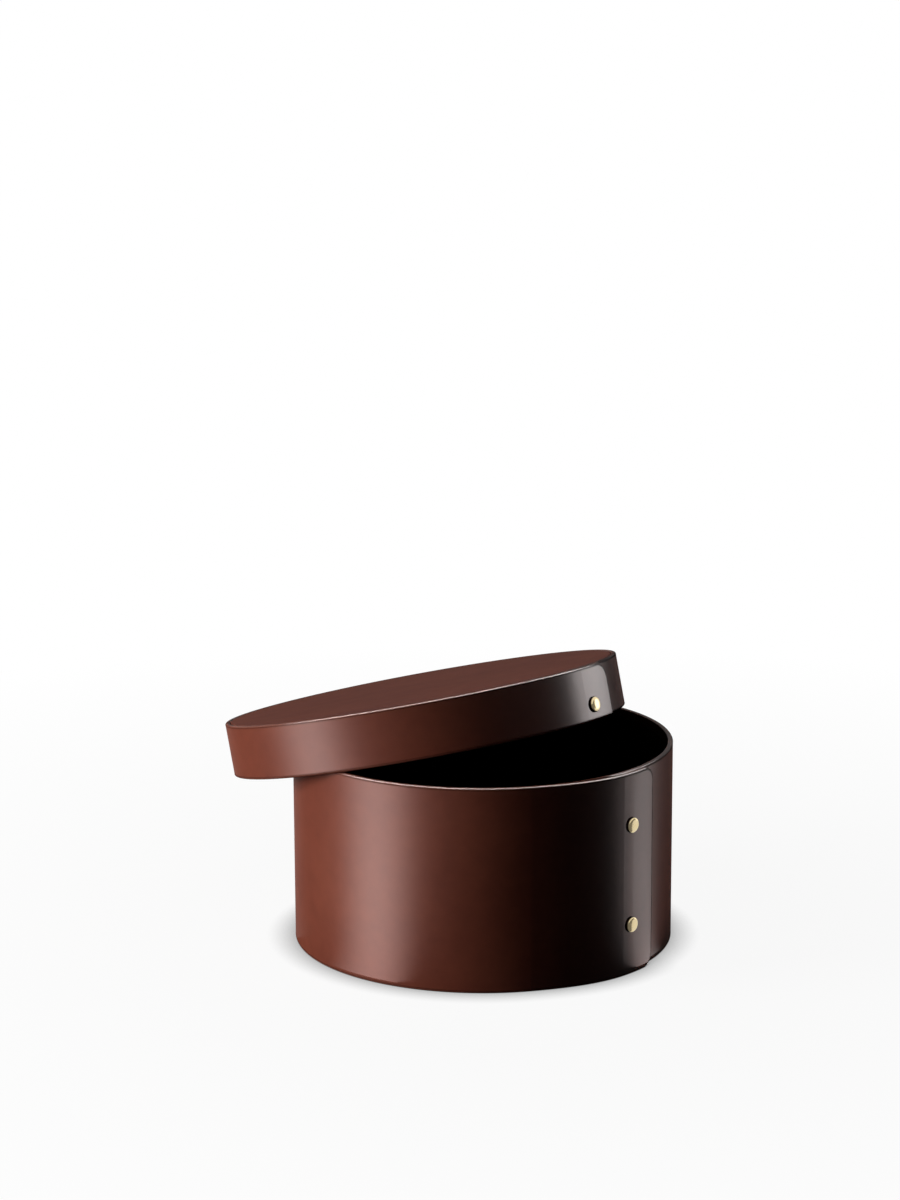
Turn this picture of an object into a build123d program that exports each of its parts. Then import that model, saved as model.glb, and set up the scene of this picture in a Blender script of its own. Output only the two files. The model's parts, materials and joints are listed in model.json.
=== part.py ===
from build123d import *
import os
from math import asin, atan2, cos, degrees, hypot, radians, sin, sqrt, tan

# A round leather collar box with a slip-over lid, in millimetres, +Z up. The origin lies on the
# axis of the box, on the surface that the box stands on, and the front of the box faces -Y. The lid
# is off its seat: it lies tipped on the rim, shifted and lowered towards the back left.
# Angles are about the axis of the box or of the lid, in degrees from its X axis.

# The leather, which is the same in every piece
leather = 2.4            # thickness
edge_round = 0.8         # rounding of the painted edges of a band
disc_round = 0.4         # rounding of the rim of a disc set into a band
glue_line = 0.1          # between a piece and the band that it is glued into

# The lap, where the outer end of a band lies over its pared inner end
lap_length = 55.0        # from the outer end back to the inner end, along the band
skive_length = 34.0      # stretch over which the inner end is pared thin
skive_tip = 0.3          # thickness left at the inner end
skive_lead = 12.0        # how far before the inner end the outer layer starts to climb
lap_gap = 0.2            # between the two layers
skive_shares = (-0.1, 0.5, 1.1)  # of the pared stretch, from its tip: points of its cutter

# The side of the box
body_radius = 88.0       # outside, where the side is one layer thick
body_height = 93.7
body_seam_angle = -32.4  # where the outer end of the band lies, at the front right
body_corner = 6.5        # rounded corners of that end

# The lid
lid_height = 24.8
lid_clearance = 0.35     # between the lap of the side and the inside of the lid
lid_seam_angle = -25.2
lid_upper_corner = 8.0
lid_lower_corner = 2.0

# Stiffening and lining
board = 2.4
lining = 0.8
lining_round = 0.3
lining_setback = 3.0     # from the rim of the box down to the edge of its lining

# The studs, each with a hollow post through both layers
stud_setback = 17.5      # from the outer end of a band back to its studs
body_stud_inset = 23.7   # from the rim and from the base to the studs of the side
lid_stud_height = 7.3    # from the lower edge of the lid
stud_radius = 3.6
stud_depth = 2.4
stud_round = 0.5
post_radius = 2.0
post_clearance = 0.15    # between a post and its hole

# The screws that hold them from inside, their heads let into the leather
screw_radius = 1.2
screw_clearance = 0.1    # round the screw in its post, and round its head
screw_head_radius = 4.0
screw_head_depth = 1.0
screw_head_round = 0.3
screw_slot = 0.9         # width of the slot in the head
screw_slot_depth = 0.5
post_stop = 0.4          # from the end of a post to the head of its screw
screw_end_gap = 0.5      # from the end of a screw to the head of its stud

# How the lid lies on the box
low_side_angle = 138.1   # direction in which the lid slopes down
tip_line = 9.4           # from the axis of the box to the line where the lid's edge crosses the rim
rest_gap = 0.15          # left between the lid and the rim
settle_share = 0.67      # of the edges' rounding: how far it lets the lid's edge down on the rim

cut_overrun = 4.0        # how far a cutter passes the faces that it cuts

# The inside of the lid clears the lap of the side
lap_lift = leather + lap_gap
lap_stack = lap_lift + leather
body_inner_radius = body_radius - leather
lid_inner_radius = body_radius + lap_lift + lid_clearance
lid_radius = lid_inner_radius + leather

# The lid rests in three places: its underside on the rim at its low side, and the inner edge of
# its band on the rim at both ends of the tip line. That settles its tilt and its shift.
lid_underside = lid_height - leather - board - lining
settle = settle_share * edge_round
rest_reach = body_radius - edge_round - tip_line
rest_drop = settle - edge_round
rest_depth = lid_underside - edge_round - rest_gap
lid_tilt = degrees(asin(rest_depth / hypot(rest_reach, rest_drop)) - atan2(rest_drop, rest_reach))
lid_shift = sqrt(lid_inner_radius**2 - body_radius**2 + tip_line**2)


def outward(angle):
    """The direction away from the axis at this angle."""
    return Vector(cos(radians(angle)), sin(radians(angle)), 0)


def ahead(angle):
    """The direction along a band at this angle."""
    return Vector(-sin(radians(angle)), cos(radians(angle)), 0)


def layer_arc(radius, start, end):
    """The arc of a round layer from one angle to another."""
    return CenterArc((0, 0), radius, start, end - start)


def climb(radius, start, end):
    """The smooth curve of a layer that climbs by the lap's lift between two angles."""
    reach_share = tan(radians(end - start) / 4) * 4 / 3
    low = outward(start) * radius
    high = outward(end) * (radius + lap_lift)
    return Bezier(
        low,
        low + ahead(start) * (radius * reach_share),
        high - ahead(end) * ((radius + lap_lift) * reach_share),
        high,
    )


def stud_seat(base, radius, seam_angle, height):
    """The plane of a stud: it touches the outside of the lap and faces outward."""
    lap_radius = radius + lap_lift
    angle = seam_angle - degrees(stud_setback / lap_radius)
    level = base.offset(height)
    centre = level.from_local_coords(outward(angle) * lap_radius)
    return Plane(centre, x_dir=base.z_dir, z_dir=centre - level.origin)


def wrapped_band(base, radius, height, seam_angle, upper_corner, lower_corner, seats):
    """A strip that stands on a plane, wrapped once round and lapped over its pared inner end.

    The outer run goes from the side opposite the seam, over the inner end, to the seam. The inner
    run goes from the inner end on to that side. The edges of both are rounded before they join.
    """
    inner_radius = radius - leather
    far_angle = seam_angle - 180
    tip_angle = seam_angle - degrees(lap_length / radius)
    skive_angle = tip_angle + degrees(skive_length / radius)
    climb_angle = tip_angle - degrees(skive_lead / radius)

    with BuildPart() as outer_run:
        with BuildSketch(base):
            with BuildLine():
                layer_arc(radius, far_angle, climb_angle)
                climb(radius, climb_angle, skive_angle)
                outside = layer_arc(radius + lap_lift, skive_angle, seam_angle)
                inside = layer_arc(inner_radius + lap_lift, seam_angle, skive_angle)
                Line(outside @ 1, inside @ 0)
                climb(inner_radius, climb_angle, skive_angle)
                layer_arc(inner_radius, climb_angle, far_angle)
                Line(outward(far_angle) * inner_radius, outward(far_angle) * radius)
            make_face()
        extrude(amount=height)
        for end_height, corner in ((0, lower_corner), (height, upper_corner)):
            end_corner = base.offset(end_height).from_local_coords(outside @ 1)
            across = outer_run.edges().group_by(SortBy.LENGTH)[0]
            fillet(across.sort_by_distance(end_corner)[0], corner)
        upright = outer_run.edges().filter_by(Axis(base.origin, base.z_dir))
        long_edges = outer_run.edges().filter_by(GeomType.LINE, reverse=True)
        fillet(long_edges + upright.sort_by_distance(end_corner)[:2], edge_round)

    with BuildPart() as band:
        with BuildSketch(base):
            with BuildLine():
                outside = layer_arc(radius, tip_angle, seam_angle + 180)
                inside = layer_arc(inner_radius, seam_angle + 180, tip_angle)
                Line(outside @ 1, inside @ 0)
                Line(inside @ 1, outside @ 0)
            make_face()
        extrude(amount=height)
        fillet(band.edges().filter_by(GeomType.CIRCLE), edge_round)
        with BuildSketch(base.offset(-cut_overrun)):
            with BuildLine():
                pared = ThreePointArc(*[
                    outward(tip_angle + (skive_angle - tip_angle) * share)
                    * (inner_radius + skive_tip + (leather - skive_tip) * share)
                    for share in skive_shares
                ])
                clear_of_end = outward(skive_angle) * (radius + cut_overrun)
                clear_of_tip = outward(tip_angle) * (radius + cut_overrun)
                Polyline(pared @ 1, clear_of_end, clear_of_tip, pared @ 0)
            make_face()
        extrude(amount=height + 2 * cut_overrun, mode=Mode.SUBTRACT)
        add(outer_run.part)
        with Locations(*[-seat.offset(-lap_stack - cut_overrun) for seat in seats]):
            CounterBoreHole(
                radius=post_radius + post_clearance,
                counter_bore_radius=screw_head_radius + screw_clearance,
                counter_bore_depth=cut_overrun + screw_head_depth,
                depth=lap_stack + 2 * cut_overrun,
            )
    return band


def disc(base, radius, thickness, rounding=0):
    """A flat disc on a plane, its rim rounded or left as cut."""
    with BuildPart() as piece:
        with BuildSketch(base):
            Circle(radius)
        extrude(amount=thickness)
        if rounding:
            fillet(piece.edges(), rounding)
    return piece


def button_stud(seat):
    """The outer half of a stud: a flat head on a hollow post."""
    post_length = lap_stack - screw_head_depth - post_stop
    with BuildPart() as stud:
        with BuildSketch(seat):
            Circle(stud_radius)
        extrude(amount=stud_depth)
        face = stud.faces().sort_by(Axis(seat.origin, seat.z_dir))[-1]
        fillet(face.edges(), stud_round)
        with BuildSketch(seat):
            Circle(post_radius)
        extrude(amount=-post_length)
        with Locations(-seat.offset(-post_length)):
            Hole(screw_radius + screw_clearance, depth=post_length)
    return stud


def stud_screw(seat):
    """The inner half of a stud: a flat slotted head, flush with the leather, on a short screw."""
    back = -seat.offset(-lap_stack)
    with BuildPart() as screw:
        with BuildSketch(back):
            Circle(screw_head_radius)
        extrude(amount=-screw_head_depth)
        face = screw.faces().sort_by(Axis(back.origin, back.z_dir))[-1]
        fillet(face.edges(), screw_head_round)
        with BuildSketch(back):
            Rectangle(2 * screw_head_radius + 2 * cut_overrun, screw_slot)
        extrude(amount=-screw_slot_depth, mode=Mode.SUBTRACT)
        with BuildSketch(back.offset(-screw_head_depth)):
            Circle(screw_radius)
        extrude(amount=screw_head_depth + screw_end_gap - lap_stack)
    return screw


def finish(piece, name):
    """Labels a piece and writes it."""
    piece.part.label = name
    export_step(piece.part, f"parts/{name}.step")


os.makedirs("parts", exist_ok=True)

# The side of the box
stud_heights = {"lower_stud": body_stud_inset, "upper_stud": body_height - body_stud_inset}
body_seats = {
    name: stud_seat(Plane.XY, body_radius, body_seam_angle, height)
    for name, height in stud_heights.items()
}
wall_band = wrapped_band(
    Plane.XY, body_radius, body_height, body_seam_angle, body_corner, body_corner,
    body_seats.values(),
)
finish(wall_band, "wall_band")
for name, seat in body_seats.items():
    finish(button_stud(seat), name)
    finish(stud_screw(seat), name + "_back")

# The bottom of the box, set into the band
base_disc = disc(Plane.XY, body_inner_radius - glue_line, leather, disc_round)
finish(base_disc, "base_disc")
base_board = disc(Plane.XY.offset(leather), body_inner_radius - glue_line, board)
finish(base_board, "base_board")

# The lining of the box stands on the board
board_top = Plane.XY.offset(leather + board)
lining_radius = body_inner_radius - glue_line
with BuildPart() as wall_lining:
    with BuildSketch(board_top):
        Circle(lining_radius)
        Circle(lining_radius - lining, mode=Mode.SUBTRACT)
    extrude(amount=body_height - lining_setback - leather - board)
    fillet(wall_lining.faces().sort_by(Axis.Z)[-1].edges(), lining_round)
finish(wall_lining, "wall_lining")
floor_lining = disc(board_top, lining_radius - lining - glue_line, lining)
finish(floor_lining, "floor_lining")

# The lid, as it lies on the box: it slopes down on its low side, and its axis is shifted that way
tip_axis = Axis((0, 0, 0), ahead(low_side_angle))
down_slope = outward(low_side_angle).rotate(tip_axis, lid_tilt)
tip_point = outward(low_side_angle) * tip_line + Vector(0, 0, body_height - settle)
lid_base = Plane(
    tip_point + down_slope * lid_shift,
    x_dir=Plane.XY.x_dir.rotate(tip_axis, lid_tilt),
    z_dir=Plane.XY.z_dir.rotate(tip_axis, lid_tilt),
)
lid_seat = stud_seat(lid_base, lid_radius, lid_seam_angle, lid_stud_height)
lid_band = wrapped_band(
    lid_base, lid_radius, lid_height, lid_seam_angle, lid_upper_corner, lid_lower_corner,
    [lid_seat],
)
finish(lid_band, "lid_band")
finish(button_stud(lid_seat), "lid_stud")
finish(stud_screw(lid_seat), "lid_stud_back")

# The top of the lid, set into its band, with its stiffener and lining below it
lid_lining = disc(lid_base.offset(lid_underside), lid_inner_radius - glue_line, lining)
finish(lid_lining, "lid_lining")
lid_board = disc(lid_base.offset(lid_underside + lining), lid_inner_radius - glue_line, board)
finish(lid_board, "lid_board")
lid_top = disc(
    lid_base.offset(lid_height - leather), lid_inner_radius - glue_line, leather, disc_round
)
finish(lid_top, "lid_top")
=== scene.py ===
import json
from math import atan2, cos, hypot, pi, radians, sin, tau

import bmesh
import bpy
from mathutils import Matrix, Vector, noise

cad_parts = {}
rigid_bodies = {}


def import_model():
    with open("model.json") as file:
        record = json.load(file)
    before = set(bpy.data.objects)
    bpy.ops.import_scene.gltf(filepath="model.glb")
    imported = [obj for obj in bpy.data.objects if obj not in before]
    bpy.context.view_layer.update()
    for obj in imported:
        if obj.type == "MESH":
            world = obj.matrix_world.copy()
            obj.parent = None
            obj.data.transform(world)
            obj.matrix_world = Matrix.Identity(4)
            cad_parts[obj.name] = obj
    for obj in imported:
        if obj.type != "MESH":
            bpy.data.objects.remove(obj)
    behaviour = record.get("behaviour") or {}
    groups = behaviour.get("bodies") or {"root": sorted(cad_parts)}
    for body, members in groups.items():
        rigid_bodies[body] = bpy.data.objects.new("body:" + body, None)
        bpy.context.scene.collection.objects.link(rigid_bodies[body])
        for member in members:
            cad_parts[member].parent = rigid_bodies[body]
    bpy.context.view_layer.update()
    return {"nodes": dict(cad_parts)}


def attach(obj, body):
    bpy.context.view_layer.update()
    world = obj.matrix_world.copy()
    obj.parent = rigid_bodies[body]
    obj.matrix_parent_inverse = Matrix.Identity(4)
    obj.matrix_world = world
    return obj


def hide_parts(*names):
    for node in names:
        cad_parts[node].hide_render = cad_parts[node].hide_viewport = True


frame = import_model()

# A round leather collar box, its lid lying tipped on the rim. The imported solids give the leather,
# the boards and the screws. The edge paint, the studs and the cloth linings are made here.
# Sizes are in millimetres and become metres where they meet Blender. Angles are in degrees, and
# the front of the box faces -Y.

MM = 0.001

# The box
LEATHER = 2.4
LAP_LIFT = 2.6                  # how far the outer end of a band stands out over the inner end
BOX_RADIUS = 88.0
BOX_HEIGHT = 93.7
BOX_SEAM = -32.4                # direction of the outer end of the side, from the X axis
BOX_STUD_INSET = 23.7           # from the rim and from the base to the studs

# The lid, as it lies on the box
LID_RADIUS = 93.35
LID_HEIGHT = 24.8
LID_SEAM = -25.2
LID_STUD_HEIGHT = 7.3
LID_PLACE = (-24.943, 22.380, 87.259)   # middle of its lower edge
LID_LOW_SIDE = 138.1            # direction in which it slopes down
LID_TILT = 13.761

# Both bands: outside radius, height, seam, and the corners of the outer end, upper and lower
BOX_BAND = (BOX_RADIUS, BOX_HEIGHT, BOX_SEAM, 6.5, 6.5)
LID_BAND = (LID_RADIUS, LID_HEIGHT, LID_SEAM, 8.0, 2.0)

# The studs
STUD_SETBACK = 17.5             # from the outer end of a band back to its studs
STUD_KEEP_OUT = 5.2             # round the axis of a stud, where a band has its screw recess
STUD_HEAD = 2.4                 # from the leather to the middle of its face
STUD_STEPS = 72
STUD_CREASE = 32                # edges sharper than this stay crisp

# Radii and heights of a stud. From the middle of its head out: a low dome that runs into a well
# rounded rim, the underside, and the hollow post through the leather.
STUD_OUTLINE = (
    (0.0, STUD_HEAD), (0.5, 2.397), (1.0, 2.385), (1.4, 2.367), (1.8, 2.34), (2.1, 2.312),
    (2.4, 2.27), (2.6, 2.232), (2.8, 2.18), (2.95, 2.125), (3.10, 2.05), (3.22, 1.96),
    (3.33, 1.85), (3.43, 1.70), (3.51, 1.53), (3.57, 1.34), (3.60, 1.15), (3.60, 0.30),
    (3.54, 0.12), (3.40, 0.0), (2.0, 0.0), (2.0, -3.6), (1.3, -3.6), (1.3, 0.0), (0.0, 0.0),
)

# The edge paint
PAINT_THICKNESS = 0.1
PAINT_PROUD = 0.05              # how much of it stands over the leather
EDGE_ROUND = 0.8                # how far the painted edges of a band are rounded
FLAT_LEATHER = 0.97             # the share of outwards above which a face is flat leather
PAINT_STOPS = 0.8               # the share of inwards above which a rim gets no paint

# The linings
CLOTH = 0.8
BOX_CLOTH_FOOT = 4.8            # top of the board in the bottom of the box
BOX_CLOTH_RADIUS = 85.5
BOX_CLOTH_TOP = 90.7
HEM = 8.0                       # width of the turned hem at the top
HEM_THICKNESS = 1.3
CLOTH_JOIN = 10.0               # width of the overlap where the cloth on the side ends
JOIN_RISE = 0.4                 # how far the overlap stands in, as a share of the cloth
PASTED = 0.3                    # cloth this near to the leather stays where it is
FLOOR_CLOTH_RADIUS = 84.6
LID_CLOTH_RADIUS = 90.85
LID_CLOTH_UNDERSIDE = 19.2      # above the lower edge of the lid
CLOTH_CREASE = 60               # edges sharper than this stay crisp
DISC_STEPS, WALL_STEPS = 180, 270
RIPPLE = 0.12                   # how far pasted cloth rises and falls
RIPPLE_LENGTH = 26.0            # from one rise to the next, about

# The studio
FLOOR_RADIUS = 6000
PAPER_FADES = (150, 600)        # the paper melts into the white room between these, from the box
CONTACT_SHADOW = 14
AIM_HEIGHT = 60                 # of the lamps
CARD_HEIGHT = 2.0               # the bright cards lie over the floor and over the lying flag
CARD_EDGE = 120                 # over this length from its near edge a card comes to full strength
CARD_NEAR = 0.7                 # share of its strength at that edge
FLAG_GREY = 0.22
FLAG_REACH = 1300
FLAG_LYING = ((3, 1.0), (FLAG_REACH, 1.0))      # distances from the studs, and heights
FLAG_STANDING = ((FLAG_REACH, 1.0), (FLAG_REACH, 600.0))

# Between these two values lies nearly all of a noise pattern
LOW, HIGH = 0.3, 0.7

# A wave pattern of scale 1 repeats after this length
WAVE = 0.628

box_frame = Matrix.Identity(4)
lid_frame = Matrix.Translation(Vector(LID_PLACE) * MM) @ Matrix.Rotation(
    radians(LID_TILT), 4, (-sin(radians(LID_LOW_SIDE)), cos(radians(LID_LOW_SIDE)), 0)
)


def stud_frame(band_frame, radius, seam, height):
    """The frame of a stud: it touches the outside of the lap, and its Z axis points outwards."""
    lap_radius = radius + LAP_LIFT
    turned = radians(seam) - STUD_SETBACK / lap_radius
    outward = Vector((cos(turned), sin(turned), 0))
    seat = Matrix.Translation((outward * lap_radius + Vector((0, 0, height))) * MM)
    return band_frame @ seat @ outward.to_track_quat("Z", "Y").to_matrix().to_4x4()


stud_frames = {
    "lower_stud": stud_frame(box_frame, BOX_RADIUS, BOX_SEAM, BOX_STUD_INSET),
    "upper_stud": stud_frame(box_frame, BOX_RADIUS, BOX_SEAM, BOX_HEIGHT - BOX_STUD_INSET),
    "lid_stud": stud_frame(lid_frame, LID_RADIUS, LID_SEAM, LID_STUD_HEIGHT),
}


# ------------------------------------------------------------------ tools for finishes

def tint(code):
    """The linear colour of an sRGB hex code."""
    parts = [int(code[at:at + 2], 16) / 255 for at in (1, 3, 5)]
    return [p / 12.92 if p <= 0.04045 else ((p + 0.055) / 1.055) ** 2.4 for p in parts] + [1.0]


def add(tree, kind, sockets, **settings):
    """Adds a node with its settings. A socket is given a value, or the output that feeds it."""
    node = tree.nodes.new("ShaderNode" + kind)
    for name, value in settings.items():
        setattr(node, name, value)
    for socket, value in sockets.items():
        if isinstance(value, bpy.types.NodeSocket):
            tree.links.new(value, node.inputs[socket])
        else:
            node.inputs[socket].default_value = value
    return node.outputs[0]


def new_finish(name):
    """An empty material, and its node tree."""
    material = bpy.data.materials.new(name)
    material.use_nodes = True
    material.node_tree.nodes.clear()
    return material, material.node_tree


def add_surface(tree, shader):
    """Ends a node tree in its surface."""
    tree.links.new(shader, tree.nodes.new("ShaderNodeOutputMaterial").inputs["Surface"])


def here_on(tree, piece_frame):
    """The place on a piece in the frame of its band or disc."""
    place = add(tree, "TexCoord", {}).node.outputs["Object"]
    return add(tree, "Mapping", {
        "Vector": place,
        "Location": piece_frame.to_translation(),
        "Rotation": piece_frame.to_euler(),
    }, vector_type="TEXTURE")


def from_axis(tree, place):
    """How far a place is from the axis."""
    flat = add(tree, "VectorMath", {0: place, 1: (1, 1, 0)}, operation="MULTIPLY")
    return add(tree, "VectorMath", {0: flat}, operation="LENGTH").node.outputs["Value"]


def along_band(tree, place, band):
    """How far a place on a band is from its nearest painted edge, and past its outer end."""
    radius, height, seam, upper_corner, lower_corner = band
    turned = add(
        tree, "Mapping", {"Vector": place, "Rotation": (0, 0, radians(seam + 180))},
        vector_type="TEXTURE",
    )
    around = add(tree, "TexGradient", {"Vector": turned}, gradient_type="RADIAL")
    past = add(tree, "Math", {0: around, 1: tau * radius * MM}, operation="MULTIPLY")
    back = add(tree, "Math", {0: tau * radius * MM, 1: past}, operation="SUBTRACT")
    up = add(tree, "SeparateXYZ", {0: place}).node.outputs["Z"]
    down = add(tree, "Math", {0: height * MM, 1: up}, operation="SUBTRACT")
    gaps = []
    for corner, from_edge in ((upper_corner * MM, down), (lower_corner * MM, up)):
        inset = add(tree, "CombineXYZ", {"X": back, "Y": from_edge})
        short = add(tree, "VectorMath", {0: (corner, corner, 0), 1: inset}, operation="SUBTRACT")
        short = add(tree, "VectorMath", {0: short, 1: (0, 0, 0)}, operation="MAXIMUM")
        short = add(tree, "VectorMath", {0: short}, operation="LENGTH").node.outputs["Value"]
        gaps.append(add(tree, "Math", {0: corner, 1: short}, operation="SUBTRACT"))
    return add(tree, "Math", {0: gaps[0], 1: gaps[1]}, operation="MINIMUM"), past


def bridle_leather(name, piece_frame, wax, dullness, band=None, unrubbed=0.0):
    """Bridle leather: vegetable-tanned cowhide, drum-dyed red-brown, waxed and rolled smooth.

    What that gives the eye: a deep colour with slow clouds where the dye took unevenly, a thin
    coat of wax that mirrors a lamp as a broad soft stripe, and grain so fine that it only just
    breaks the stripe up. On a band a fine dark line is painted along the edges and the end of the
    lap: partly the edge paint that crept onto the grain, partly painted shade where the rounded
    edges turn away. The corner just past the lap, which the rubbing cloth doesn't reach, is left
    dull: unrubbed is the share of wax that is missing there. A band's inside is its flesh side:
    browner, dull and fibrous.
    """
    material, tree = new_finish(name)
    place = here_on(tree, piece_frame)

    # Dye clouds, 45 mm across, and a finer unevenness of 7 mm
    clouds = add(tree, "TexNoise", {"Vector": place, "Scale": 1 / (45 * MM), "Detail": 3.0})
    mottle = add(tree, "TexNoise", {
        "Vector": place, "Scale": 1 / (7 * MM), "Detail": 4.0, "Roughness": 0.6,
    })
    cloud_share = add(tree, "MapRange", {"Value": clouds, "From Min": LOW, "From Max": HIGH})
    colour = add(tree, "Mix", {
        0: cloud_share, 6: tint("#6B3527"), 7: tint("#763D2D"),
    }, data_type="RGBA").node.outputs[2]
    fade = add(tree, "MapRange", {
        "Value": mottle, "From Min": LOW, "From Max": HIGH, "To Min": 0.93, "To Max": 1.05,
    })
    colour = add(tree, "VectorMath", {0: colour, "Scale": fade}, operation="SCALE")
    rough = add(tree, "MapRange", {
        "Value": mottle, "From Min": LOW, "From Max": HIGH, "To Min": 0.75, "To Max": 0.65,
    })

    # Grain: pores really lie 0.3 mm apart, finer than a picture shows, so they are drawn at 0.8 mm
    pores = add(tree, "TexVoronoi", {"Vector": place, "Scale": 1 / (0.8 * MM)})
    folds = add(tree, "TexNoise", {
        "Vector": place, "Scale": 1 / (2.2 * MM), "Detail": 5.0, "Roughness": 0.62,
    })
    relief = add(tree, "Math", {0: pores, 1: 0.3, 2: folds}, operation="MULTIPLY_ADD")

    coat = wax
    if band:
        gap, past = along_band(tree, place, band)
        # Painted shade, partly real: a fine dark, less glossy line along the painted edges and the
        # lap's end, for edge paint crept onto the grain and for the shade where the rounded edges
        # turn away
        paint_line_and_shade = add(tree, "MapRange", {
            "Value": gap, "From Min": 0.9 * MM, "From Max": 1.4 * MM, "To Min": 0.45,
        })
        colour = add(tree, "VectorMath", {0: colour, "Scale": paint_line_and_shade}, operation="SCALE")
        blotchy = add(tree, "Math", {0: mottle, 1: 12 * MM, 2: past}, operation="MULTIPLY_ADD")
        # The wax comes back from about 12 to 26 mm past the end of the lap
        rubbed = add(tree, "MapRange", {
            "Value": blotchy, "From Min": 18 * MM, "From Max": 32 * MM,
            "To Min": wax * (1 - unrubbed), "To Max": wax,
        })
        rubbed = add(tree, "Math", {0: rubbed, 1: paint_line_and_shade}, operation="MULTIPLY")

        # The flesh side, with fibres 1 mm long
        inside = (band[0] - LEATHER) * MM
        on_flesh = add(tree, "MapRange", {
            "Value": from_axis(tree, place),
            "From Min": inside + 0.5 * MM, "From Max": inside + 0.2 * MM,
        })
        nap = add(tree, "TexNoise", {
            "Vector": place, "Scale": 1 / (1.0 * MM), "Detail": 5.0, "Roughness": 0.7,
        })
        flesh = add(tree, "Mix", {
            0: nap, 6: tint("#24150F"), 7: tint("#3D251C"),
        }, data_type="RGBA").node.outputs[2]
        colour = add(tree, "Mix", {
            0: on_flesh, 6: colour, 7: flesh,
        }, data_type="RGBA").node.outputs[2]
        coat = add(tree, "MapRange", {"Value": on_flesh, "To Min": rubbed, "To Max": 0.0})
        relief = add(tree, "Math", {0: nap, 1: on_flesh, 2: relief}, operation="MULTIPLY_ADD")

    bump = add(tree, "Bump", {"Strength": 0.15, "Distance": 0.1 * MM, "Height": relief})
    skin = add(tree, "BsdfPrincipled", {
        "Base Color": colour,
        "Roughness": rough,
        "Specular IOR Level": 0.0,
        "Normal": bump,
        "Coat Weight": coat,
        "Coat Roughness": dullness,
        "Coat Normal": bump,
    })
    add_surface(tree, skin)
    return material


def edge_paint_finish(name, piece_frame, band=None):
    """Edge paint: water-based acrylic, rubbed down between coats and burnished with a hot iron.

    What that gives the eye: a thin, even line along every cut edge, paler and glossier than the
    leather beside it, with the faint ripple that a hand-drawn iron leaves. Where a band is given,
    the paint in an uneven stretch just past the end of its lap is drawn darker and duller: painted
    shade for the groove beside the band's top edge there.
    """
    material, tree = new_finish(name)
    place = here_on(tree, piece_frame)
    ripple = add(tree, "TexNoise", {"Vector": place, "Scale": 1 / (4 * MM), "Detail": 1.0})
    specks = add(tree, "TexNoise", {"Vector": place, "Scale": 1 / (0.8 * MM), "Detail": 4.0})
    colour = add(tree, "Mix", {
        0: specks, 6: tint("#63392E"), 7: tint("#7A4A3D"),
    }, data_type="RGBA").node.outputs[2]
    gloss = add(tree, "MapRange", {
        "Value": specks, "From Min": LOW, "From Max": HIGH, "To Min": 0.26, "To Max": 0.38,
    })
    bump = add(tree, "Bump", {"Strength": 0.15, "Distance": 0.15 * MM, "Height": ripple})
    shine = 0.2
    if band:
        _, past = along_band(tree, place, band)
        # The painted shade fades out unevenly from about 33 to 43 mm past the end of the lap
        shade_past_lap = add(tree, "Math", {0: ripple, 1: 30 * MM, 2: past}, operation="MULTIPLY_ADD")
        shade_past_lap = add(tree, "MapRange", {"Value": shade_past_lap, "From Min": 58 * MM, "From Max": 48 * MM})
        colour = add(tree, "Mix", {
            0: shade_past_lap, 6: colour, 7: tint("#4E2F28"),
        }, data_type="RGBA").node.outputs[2]
        shine = add(tree, "MapRange", {"Value": shade_past_lap, "To Min": shine, "To Max": 0.1})
    film = add(tree, "BsdfPrincipled", {
        "Base Color": colour, "Roughness": gloss, "Specular IOR Level": 0.0, "Normal": bump,
        "Coat Weight": shine, "Coat Roughness": 0.22, "Coat Normal": bump,
    })
    add_surface(tree, film)
    return material


def polished_brass(name):
    """Yellow brass: free-turning bar, turned on a lathe, polished and lacquered.

    What that gives the eye: a pale warm gold that mirrors its surroundings, with fine rings round
    its middle from the lathe and a little duller haze where fingers touch it. The side of the head
    is painted near-black and duller: painted shade for the dark that it mirrors. The UV map of a
    turned piece holds the way out from its middle and down its side, and the way round, in metres.
    """
    material, tree = new_finish(name)
    turned = add(tree, "UVMap", {}, uv_map="turned")
    rings_of = add(tree, "VectorMath", {0: turned, 1: (1, 0, 0)}, operation="MULTIPLY")
    # Lathe marks are 0.05 mm apart and drawn at 0.3 mm
    rings = add(tree, "TexNoise", {"Vector": rings_of, "Scale": 1 / (0.3 * MM), "Detail": 2.0})
    place = add(tree, "TexCoord", {}).node.outputs["Object"]
    haze = add(tree, "TexNoise", {"Vector": place, "Scale": 1 / (1.6 * MM), "Detail": 3.0})
    colour = add(tree, "Mix", {
        0: haze, 6: tint("#DCC594"), 7: tint("#EAD9B2"),
    }, data_type="RGBA").node.outputs[2]
    gloss = add(tree, "MapRange", {
        "Value": haze, "From Min": LOW, "From Max": HIGH, "To Min": 0.1, "To Max": 0.2,
    })
    bump = add(tree, "Bump", {"Strength": 0.12, "Distance": 0.02 * MM, "Height": rings})
    # Painted shade: from 3.8 to 4.4 mm out and down, the side of the head turns near-black and
    # duller
    down = add(tree, "SeparateXYZ", {0: turned}).node.outputs["X"]
    wax = add(tree, "MapRange", {"Value": down, "From Min": 3.8 * MM, "From Max": 4.4 * MM})
    colour = add(tree, "Mix", {
        0: wax, 6: colour, 7: tint("#20130E"),
    }, data_type="RGBA").node.outputs[2]
    gloss = add(tree, "Math", {0: wax, 1: 0.4, 2: gloss}, operation="MULTIPLY_ADD")
    metal = add(tree, "BsdfPrincipled", {
        "Base Color": colour, "Metallic": 1.0, "Roughness": gloss, "Normal": bump,
    })
    add_surface(tree, metal)
    return material


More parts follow.
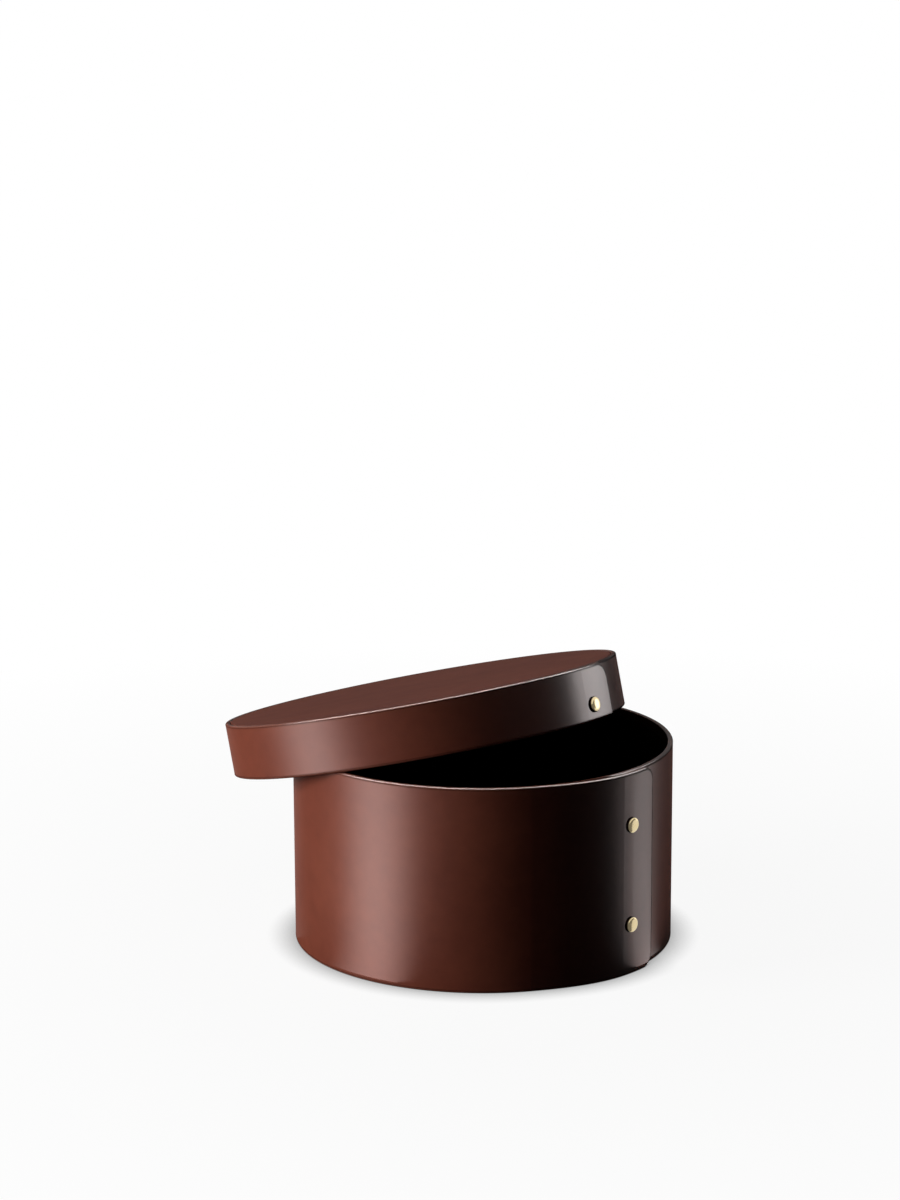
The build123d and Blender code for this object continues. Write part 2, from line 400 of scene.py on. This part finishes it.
def brass_screw_finish(name):
    """Yellow brass again, sawn and tumbled, as on the back of a stud: duller, with small dents."""
    material, tree = new_finish(name)
    place = add(tree, "TexCoord", {}).node.outputs["Object"]
    dents = add(tree, "TexVoronoi", {"Vector": place, "Scale": 1 / (0.9 * MM)})
    tarnish = add(tree, "TexNoise", {"Vector": place, "Scale": 1 / (2.5 * MM), "Detail": 4.0})
    colour = add(tree, "Mix", {
        0: tarnish, 6: tint("#B08D4C"), 7: tint("#D9BC7A"),
    }, data_type="RGBA").node.outputs[2]
    gloss = add(tree, "MapRange", {
        "Value": tarnish, "From Min": LOW, "From Max": HIGH, "To Min": 0.45, "To Max": 0.25,
    })
    bump = add(tree, "Bump", {"Strength": 0.2, "Distance": 0.05 * MM, "Height": dents})
    metal = add(tree, "BsdfPrincipled", {
        "Base Color": colour, "Metallic": 1.0, "Roughness": gloss, "Normal": bump,
    })
    add_surface(tree, metal)
    return material


def twill_lining(name):
    """Lining cloth: black-brown cotton twill, woven, and pasted down flat.

    What that gives the eye: a near-black matt cloth with fine slanting ribs and a soft bloom of
    light at a low angle from the fibre ends. The UV map holds the place on the cloth, in metres.
    """
    material, tree = new_finish(name)
    cloth = add(tree, "UVMap", {}, uv_map="cloth")
    # Twill ribs are 0.6 mm apart and drawn at 1.2 mm
    ribs = add(tree, "TexWave", {
        "Vector": cloth, "Scale": WAVE / (1.2 * MM) / 2 ** 0.5, "Distortion": 0.6, "Detail": 1.0,
    }, bands_direction="DIAGONAL")
    slubs = add(tree, "TexNoise", {"Vector": cloth, "Scale": 1 / (6 * MM), "Detail": 4.0})
    share = add(tree, "Math", {0: ribs, 1: slubs}, operation="MULTIPLY")
    colour = add(tree, "Mix", {
        0: share, 6: tint("#0C0908"), 7: tint("#1D1613"),
    }, data_type="RGBA").node.outputs[2]
    bump = add(tree, "Bump", {"Strength": 0.5, "Distance": 0.12 * MM, "Height": ribs})
    rough = add(tree, "MapRange", {"Value": slubs, "To Min": 0.8, "To Max": 0.95})
    weave = add(tree, "BsdfPrincipled", {
        "Base Color": colour, "Roughness": rough, "Specular IOR Level": 0.0, "Normal": bump,
        "Sheen Weight": 0.03, "Sheen Roughness": 0.5, "Sheen Tint": tint("#6A4A3C"),
    })
    add_surface(tree, weave)
    return material


def grey_millboard(name):
    """Millboard: waste-paper pulp, pressed and rolled to a sheet.

    What that gives the eye: warm grey, quite matt, with pale and dark fibres and a sawn rim.
    """
    material, tree = new_finish(name)
    place = add(tree, "TexCoord", {}).node.outputs["Object"]
    pulp = add(tree, "TexNoise", {
        "Vector": place, "Scale": 1 / (2 * MM), "Detail": 5.0, "Roughness": 0.7,
    })
    fibres = add(tree, "TexVoronoi", {
        "Vector": place, "Scale": 1 / (1.5 * MM),
    }, feature="DISTANCE_TO_EDGE")
    colour = add(tree, "Mix", {
        0: pulp, 6: tint("#6F675D"), 7: tint("#A39A8C"),
    }, data_type="RGBA").node.outputs[2]
    relief = add(tree, "Math", {0: pulp, 1: fibres})
    bump = add(tree, "Bump", {"Strength": 0.4, "Distance": 0.2 * MM, "Height": relief})
    board = add(tree, "BsdfPrincipled", {
        "Base Color": colour, "Roughness": 0.95, "Specular IOR Level": 0.1, "Normal": bump,
    })
    add_surface(tree, board)
    return material


# ------------------------------------------------------------------ tools for pieces

def keep(shape, name, piece_frame, material):
    """Turns a shape, built in millimetres in its band's frame, into a piece in its place."""
    bmesh.ops.transform(shape, matrix=piece_frame @ Matrix.Scale(MM, 4), verts=shape.verts)
    mesh = bpy.data.meshes.new(name)
    shape.to_mesh(mesh)
    shape.free()
    mesh.shade_smooth()
    mesh.materials.append(material)
    piece = bpy.data.objects.new(name, mesh)
    bpy.context.scene.collection.objects.link(piece)
    return piece


def turn(outline, steps, closed=False):
    """Turns an outline of radii and heights once round the Z axis."""
    shape = bmesh.new()
    points = [shape.verts.new((radius, 0, height)) for radius, height in outline]
    runs = list(zip(points, points[1:] + points[:1])) if closed else list(zip(points, points[1:]))
    edges = [shape.edges.new(run) for run in runs]
    bmesh.ops.spin(
        shape, geom=points + edges, cent=(0, 0, 0), axis=(0, 0, 1), angle=tau, steps=steps,
        use_merge=True,
    )
    bmesh.ops.remove_doubles(shape, verts=shape.verts, dist=0.0001)
    bmesh.ops.recalc_face_normals(shape, faces=shape.faces)
    return shape


def map_places(shape, name, place_of):
    """Writes a UV map, in metres, from each corner's place and the middle of its face."""
    layer = shape.loops.layers.uv.new(name)
    for face in shape.faces:
        middle = face.calc_center_median()
        for loop in face.loops:
            u, v = place_of(loop.vert.co, middle)
            loop[layer].uv = (u * MM, v * MM)


def way_round(point, middle):
    """The angle of a point of a face, with no jump where the angle starts again."""
    turned = atan2(middle.y, middle.x)
    step = Matrix.Rotation(-turned, 3, "Z") @ point
    return turned + atan2(step.y, step.x)


def wall_places(point, middle):
    """Along the cloth on the side of the box, and up it."""
    return way_round(point, middle) * BOX_CLOTH_RADIUS, point.z


def disc_places(point, middle):
    """Across a round cloth, two ways."""
    return point.x, point.y


def turned_places(point, middle):
    """Out from the middle of a stud's head and down its side, and round it."""
    out = hypot(point.x, point.y)
    return out + STUD_HEAD - point.z, way_round(point, middle) * out


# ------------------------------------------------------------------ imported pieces

wall_leather = bridle_leather(
    "waxed bridle leather, side of the box", box_frame, wax=0.45, dullness=0.34, band=BOX_BAND,
)
band_leather = bridle_leather(
    "waxed bridle leather, side of the lid", lid_frame, wax=0.45, dullness=0.34, band=LID_BAND,
    unrubbed=0.6,
)
# The discs are cut from the same hide, and handled more: their wax is worn down
base_leather = bridle_leather(
    "worn bridle leather, bottom of the box", box_frame, wax=0.1, dullness=0.5,
)
top_leather = bridle_leather(
    "worn bridle leather, top of the lid", lid_frame, wax=0.18, dullness=0.5,
)
board = grey_millboard("pressed grey millboard")
screw_brass = brass_screw_finish("tumbled brass")

for node, material, slot in (
    ("wall_band", wall_leather, "leather"), ("lid_band", band_leather, "leather"),
    ("base_disc", base_leather, "leather"), ("lid_top", top_leather, "leather"),
    ("base_board", board, "board"), ("lid_board", board, "board"),
    ("upper_stud_back", screw_brass, "brass"), ("lower_stud_back", screw_brass, "brass"),
    ("lid_stud_back", screw_brass, "brass"),
):
    frame["nodes"][node].material_slots[0].material = material


# ------------------------------------------------------------------ edge paint

def paint_edges(name, node, band_frame, height, material):
    """The film of paint on the edges of a band.

    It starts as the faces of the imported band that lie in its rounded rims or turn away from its
    flat leather, without its screw recesses and without the steep inside of its rims. They are
    lifted a little and given a thickness.
    """
    shape = bmesh.new()
    shape.from_mesh(frame["nodes"][node].data)
    bmesh.ops.remove_doubles(shape, verts=shape.verts, dist=0.001 * MM)
    to_studs = [place.inverted() for place in stud_frames.values()]
    to_band = band_frame.inverted()
    bare = []
    for face in shape.faces:
        middle = face.calc_center_median()
        outward = to_band @ middle
        outward.z = 0
        outward = band_frame.to_3x3() @ outward.normalized()
        outwards = face.normal.dot(outward)
        between_rims = EDGE_ROUND * MM < (to_band @ middle).z < (height - EDGE_ROUND) * MM
        in_recess = any((to_stud @ middle).xy.length < STUD_KEEP_OUT * MM for to_stud in to_studs)
        flat = between_rims and abs(outwards) > FLAT_LEATHER
        if in_recess or flat or outwards < -PAINT_STOPS:
            bare.append(face)
    bmesh.ops.delete(shape, geom=bare, context="FACES")
    bmesh.ops.dissolve_degenerate(shape, edges=shape.edges, dist=0.001 * MM)
    bmesh.ops.transform(shape, matrix=Matrix.Scale(1 / MM, 4) @ to_band, verts=shape.verts)
    shape.normal_update()
    for vert in shape.verts:
        vert.co += vert.normal * PAINT_PROUD
    for edge in shape.edges:
        edge.smooth = not edge.is_boundary
    piece = keep(shape, name, band_frame, material)
    film = piece.modifiers.new("film", "SOLIDIFY")
    film.thickness = PAINT_THICKNESS * MM
    film.offset = -1.0
    shading = piece.modifiers.new("even shading", "WEIGHTED_NORMAL")
    shading.weight = 50
    shading.keep_sharp = True
    return piece


box_paint = paint_edges(
    "box_edge_paint", "wall_band", box_frame, BOX_HEIGHT,
    edge_paint_finish("burnished edge paint, box", box_frame),
)
lid_paint = paint_edges(
    "lid_edge_paint", "lid_band", lid_frame, LID_HEIGHT,
    edge_paint_finish("burnished edge paint, lid", lid_frame, LID_BAND),
)
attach(box_paint, "box")
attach(lid_paint, "lid")


# ------------------------------------------------------------------ studs

brass = polished_brass("polished brass")
turned_studs = []
for node, place in stud_frames.items():
    shape = turn(STUD_OUTLINE, STUD_STEPS)
    map_places(shape, "turned", turned_places)
    stud = keep(shape, "turned_" + node, place, brass)
    stud.data.set_sharp_from_angle(angle=radians(STUD_CREASE))
    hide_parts(node)
    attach(stud, "lid" if node == "lid_stud" else "box")
    turned_studs.append(stud)


# ------------------------------------------------------------------ linings

def lay_cloth(verts, seed):
    """Lets cloth rise and fall a little."""
    for vert in verts:
        place = (vert.co + Vector((0, 0, seed))) / RIPPLE_LENGTH
        vert.co += vert.normal * RIPPLE * noise.noise(place)


def cloth_disc(name, radius, foot, band_frame, material, seed):
    """A round cloth, pasted down, its edge turned under."""
    shares = (0.0, 0.04, 0.1, 0.2, 0.3, 0.4, 0.5, 0.6, 0.7, 0.8, 0.88, 0.94)
    outline = [(radius * share, CLOTH) for share in shares] + [
        (radius - 2.0, CLOTH), (radius - 0.6, CLOTH - 0.02), (radius - 0.2, CLOTH - 0.15),
        (radius, CLOTH - 0.4), (radius - 0.1, 0.1), (radius - 0.4, 0.0), (radius - 2.0, 0.0),
        (0.0, 0.0),
    ]
    shape = turn([(reach, foot + rise) for reach, rise in outline], DISC_STEPS)
    map_places(shape, "cloth", disc_places)
    shape.normal_update()
    lay_cloth(shape.verts, seed)
    return keep(shape, name, band_frame, material)


def cloth_wall(name, material, seed):
    """The cloth on the side of the box, a hem turned in at its top and its ends lapped."""
    outer, top, foot = BOX_CLOTH_RADIUS, BOX_CLOTH_TOP, BOX_CLOTH_FOOT
    inner, hem = outer - CLOTH, outer - HEM_THICKNESS
    outline = [
        (outer, foot), (outer, top - 0.5), (outer - 0.2, top - 0.12), ((outer + hem) / 2, top),
        (hem + 0.15, top - 0.2), (hem, top - 0.7), (hem, top - HEM + 0.8),
        (hem + 0.12, top - HEM + 0.2), (inner - 0.05, top - HEM), (inner, top - HEM - 0.6),
    ]
    for share in (0.85, 0.7, 0.55, 0.4, 0.25, 0.1, 0.0):
        outline.append((inner, foot + (top - HEM - foot) * share))
    shape = turn(outline, WALL_STEPS, closed=True)
    start = radians(BOX_SEAM) - CLOTH_JOIN / inner
    for vert in shape.verts:
        reach = vert.co.xy.length
        turned = (atan2(vert.co.y, vert.co.x) - start) * inner
        if 0 < turned < CLOTH_JOIN and reach < outer - PASTED:
            vert.co.xy *= 1 - JOIN_RISE * CLOTH / reach
    map_places(shape, "cloth", wall_places)
    shape.normal_update()
    lay_cloth([vert for vert in shape.verts if vert.co.xy.length < outer - PASTED], seed)
    return keep(shape, name, box_frame, material)


# The lid's cloth hangs: its frame is the lid's, upside down
twill = twill_lining("pasted cotton twill")
upside_down = lid_frame @ Matrix.Rotation(pi, 4, "X")
wall_cloth = cloth_wall("wall_cloth", twill, 3.0)
floor_cloth = cloth_disc(
    "floor_cloth", FLOOR_CLOTH_RADIUS, BOX_CLOTH_FOOT, box_frame, twill, 11.0,
)
lid_cloth = cloth_disc(
    "lid_cloth", LID_CLOTH_RADIUS, -LID_CLOTH_UNDERSIDE - CLOTH, upside_down, twill, 23.0,
)
for piece, node, body in (
    (wall_cloth, "wall_lining", "box"),
    (floor_cloth, "floor_lining", "box"),
    (lid_cloth, "lid_lining", "lid"),
):
    piece.data.set_sharp_from_angle(angle=radians(CLOTH_CREASE))
    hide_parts(node)
    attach(piece, body)


# ------------------------------------------------------------------ the photograph's view

# Fitted to the outlines of the box and of the lid
CAMERA_LENS = 89.336            # on the 36 mm of the picture's long side
CAMERA_PLACE = (0.0, -1337.17, 446.26)
CAMERA_TO_LEFT = 0.6401
CAMERA_DOWN = 12.1287
CAMERA_ROLL = -0.2284

camera_data = bpy.data.cameras.new("camera")
camera_data.lens = CAMERA_LENS
camera = bpy.data.objects.new("camera", camera_data)
camera.matrix_world = (
    Matrix.Translation(Vector(CAMERA_PLACE) * MM)
    @ Matrix.Rotation(radians(CAMERA_TO_LEFT), 4, "Z")
    @ Matrix.Rotation(radians(90 - CAMERA_DOWN), 4, "X")
    @ Matrix.Rotation(radians(CAMERA_ROLL), 4, "Z")
)
bpy.context.scene.collection.objects.link(camera)
bpy.context.scene.camera = camera
bpy.context.scene.view_settings.view_transform = "Standard"


# ------------------------------------------------------------------ studio

def sees_white(tree):
    """1 for the rays of the camera, of gloss and of glass, which see a white room."""
    rays = add(tree, "LightPath", {}).node.outputs
    seen = add(tree, "Math", {
        0: rays["Is Camera Ray"], 1: rays["Is Glossy Ray"],
    }, operation="MAXIMUM")
    return add(tree, "Math", {0: seen, 1: rays["Is Transmission Ray"]}, operation="MAXIMUM")


def white_paper():
    """Matt white paper that fades into the white room, with a soft shadow where the box stands."""
    material, tree = new_finish("matt white paper")
    seen = sees_white(tree)
    place = add(tree, "TexCoord", {}).node.outputs["Object"]
    reach = add(tree, "VectorMath", {0: place}, operation="LENGTH").node.outputs["Value"]
    near_end, far_end = PAPER_FADES
    far = add(tree, "MapRange", {
        "Value": reach, "From Min": near_end * MM, "From Max": far_end * MM,
        "To Min": 0.93, "To Max": 1.0,
    })
    shade = add(tree, "AmbientOcclusion", {
        "Distance": CONTACT_SHADOW * MM,
    }, samples=8).node.outputs["AO"]
    share = add(tree, "Math", {0: seen, 1: far}, operation="MULTIPLY")
    glow = add(tree, "Emission", {"Color": tint("#FFFFFF"), "Strength": shade})
    # Light that the paper throws back on the box is kept low, so that the box keeps its dark side
    paper = add(tree, "Mix", {
        0: seen, 6: tint("#383838"), 7: tint("#F4F4F2"),
    }, data_type="RGBA").node.outputs[2]
    matt = add(tree, "BsdfDiffuse", {"Color": paper})
    add_surface(tree, add(tree, "MixShader", {0: share, 1: matt, 2: glow}))
    return material


shape = bmesh.new()
bmesh.ops.create_circle(shape, cap_ends=True, segments=64, radius=FLOOR_RADIUS)
floor = keep(shape, "floor", box_frame, white_paper())

room = bpy.data.worlds.new("white room")
room.use_nodes = True
room.node_tree.nodes.clear()
tree = room.node_tree
level = add(tree, "MapRange", {"Value": sees_white(tree), "To Min": 0.01, "To Max": 1.0})
sky = add(tree, "Background", {"Color": tint("#FFFFFF"), "Strength": level})
tree.links.new(sky, tree.nodes.new("ShaderNodeOutputWorld").inputs["Surface"])
bpy.context.scene.world = room


def from_front(azimuth, rise=0.0):
    """A direction, turned from the front of the box to its right, and lifted."""
    azimuth, rise = radians(azimuth), radians(rise)
    return Vector((sin(azimuth) * cos(rise), -cos(azimuth) * cos(rise), sin(rise)))


def meant_for(name, pieces):
    """A collection of pieces, for a part of the studio to act on or to pass by."""
    reached = bpy.data.collections.new(name)
    for piece in pieces:
        reached.objects.link(piece)
    return reached


def gloss_only(surface, pieces):
    """Leaves a surface of the studio to the gloss of some pieces."""
    surface.visible_camera = surface.visible_diffuse = False
    surface.visible_transmission = surface.visible_shadow = False
    surface.light_linking.receiver_collection = pieces


leather_nodes = [frame["nodes"][node] for node in ("wall_band", "lid_band", "lid_top")]
leather = meant_for("leather", leather_nodes)
paint = meant_for("edge paint", (box_paint, lid_paint))
studs = meant_for("studs", turned_studs)
# Only the brass mirrors the white floor, so that waxed leather keeps the photograph's dark side
floor.light_linking.receiver_collection = studs
# In the photograph the studs throw no shadow on the stripe beside them
let_through = meant_for("studs let through", studs.objects)
for stud in let_through.collection_objects:
    stud.light_linking.link_state = "EXCLUDE"


def softbox(name, azimuth, rise, distance, width, height, radiance, only_gloss_on=None):
    """A lamp aimed at the box, which the camera doesn't see.

    Where pieces are given, it acts only on their gloss, and the studs throw no shadow in it.
    """
    data = bpy.data.lights.new(name, "AREA")
    data.shape = "RECTANGLE"
    data.size, data.size_y = width * MM, height * MM
    data.energy = radiance * pi * data.size * data.size_y
    lamp = bpy.data.objects.new(name, data)
    outward = from_front(azimuth, rise)
    lamp.location = (outward * distance + Vector((0, 0, AIM_HEIGHT))) * MM
    lamp.rotation_euler = outward.to_track_quat("Z", "Y").to_euler()
    lamp.visible_camera = False
    if only_gloss_on:
        lamp.visible_diffuse = False
        lamp.light_linking.receiver_collection = only_gloss_on
        lamp.light_linking.blocker_collection = let_through
    bpy.context.scene.collection.objects.link(lamp)


def mirror_card(name, azimuth, setback, spread, reach, strength):
    """A bright card on the floor beside the box, seen only by gloss on the leather.

    The side of the box mirrors the floor, so this is what puts an upright stripe on it, where the
    azimuth is half the card's. The card fans out from a point behind the wall and fades to its
    sides. The spread is the angle from its middle to a side.
    """
    fan = from_front(azimuth / 2) * BOX_RADIUS - from_front(azimuth) * setback
    fan.z = CARD_HEIGHT
    shape = bmesh.new()
    corners = [
        shape.verts.new(fan + from_front(azimuth + side) * out)
        for side, out in ((-spread, setback), (spread, setback), (spread, reach), (-spread, reach))
    ]
    shape.faces.new(corners)
    material, tree = new_finish(name)
    place = add(tree, "TexCoord", {}).node.outputs["Object"]
    place = add(tree, "Mapping", {
        "Vector": place, "Location": fan * MM, "Rotation": (0, 0, radians(azimuth - 90)),
    }, vector_type="TEXTURE")
    around = add(tree, "TexGradient", {"Vector": place}, gradient_type="RADIAL")
    aside = add(tree, "Math", {0: around, 1: 0.5}, operation="SUBTRACT")
    aside = add(tree, "Math", {0: aside}, operation="ABSOLUTE")
    middle = add(tree, "MapRange", {
        "Value": aside, "From Min": spread / 360, "From Max": 0.0,
    }, interpolation_type="SMOOTHSTEP")
    out = add(tree, "VectorMath", {0: place}, operation="LENGTH").node.outputs["Value"]
    level = add(tree, "MapRange", {
        "Value": out, "From Min": setback * MM, "From Max": (setback + CARD_EDGE) * MM,
        "To Min": CARD_NEAR * strength, "To Max": strength,
    })
    glow = add(tree, "Math", {0: level, 1: middle}, operation="MULTIPLY")
    glow = add(tree, "Emission", {"Color": tint("#FFFFFF"), "Strength": glow})
    clear = add(tree, "BsdfTransparent", {})
    add_surface(tree, add(tree, "AddShader", {0: clear, 1: glow}))
    card = keep(shape, name, box_frame, material)
    card.light_linking.blocker_collection = let_through
    gloss_only(card, leather)


def grey_flag(name, azimuths, profile):
    """Grey cloth, spun round the foot of the studs: they mirror it as their darker side."""
    first, last = azimuths
    below_studs = stud_frames["lower_stud"].to_translation() / MM
    below_studs.z = 0
    shape = bmesh.new()
    ends = [
        shape.verts.new(below_studs + from_front(first) * reach + Vector((0, 0, height)))
        for reach, height in profile
    ]
    bmesh.ops.spin(
        shape, geom=ends + [shape.edges.new(ends)], cent=below_studs, axis=(0, 0, 1),
        angle=radians(last - first), steps=24,
    )
    material, tree = new_finish("grey cloth, " + name)
    # The cloth's grey is a dim glow of its own: no lamp lights it, and only the studs' gloss sees
    # it
    add_surface(tree, add(tree, "Emission", {"Color": tint("#FFFFFF"), "Strength": FLAG_GREY}))
    flag = keep(shape, name, box_frame, material)
    gloss_only(flag, studs)


# Flags: the azimuths of both ends, and the profile
grey_flag("flag on the floor", (-43, 87), FLAG_LYING)
grey_flag("standing flag", (-100, 103), FLAG_STANDING)

# Lamps: azimuth, rise, distance, width, height, radiance, and the pieces on whose gloss they act
softbox("left softbox", -75, 12, 1100, 450, 480, 19.2)
softbox("left upright", -63, 12, 1000, 400, 450, 9.0, leather)
softbox("right upright", 108, 12, 1000, 620, 450, 13.0, leather)
softbox("top light", -60, 80, 1000, 600, 600, 0.5)
softbox("overhead strip", -90, 75, 1000, 700, 1800, 70.0, paint)
softbox("right strip", 105, 48, 1000, 900, 600, 45.0, paint)
softbox("stud lamp", 108, 4, 1000, 250, 350, 1.5, studs)

# Cards: azimuth, setback, spread, reach, strength
mirror_card("left card", -65, 40, 31, 900, 12.0)
mirror_card("right card", 106, 40, 18, 900, 6.8)
mirror_card("back card", -165, 40, 30, 900, 0.4)
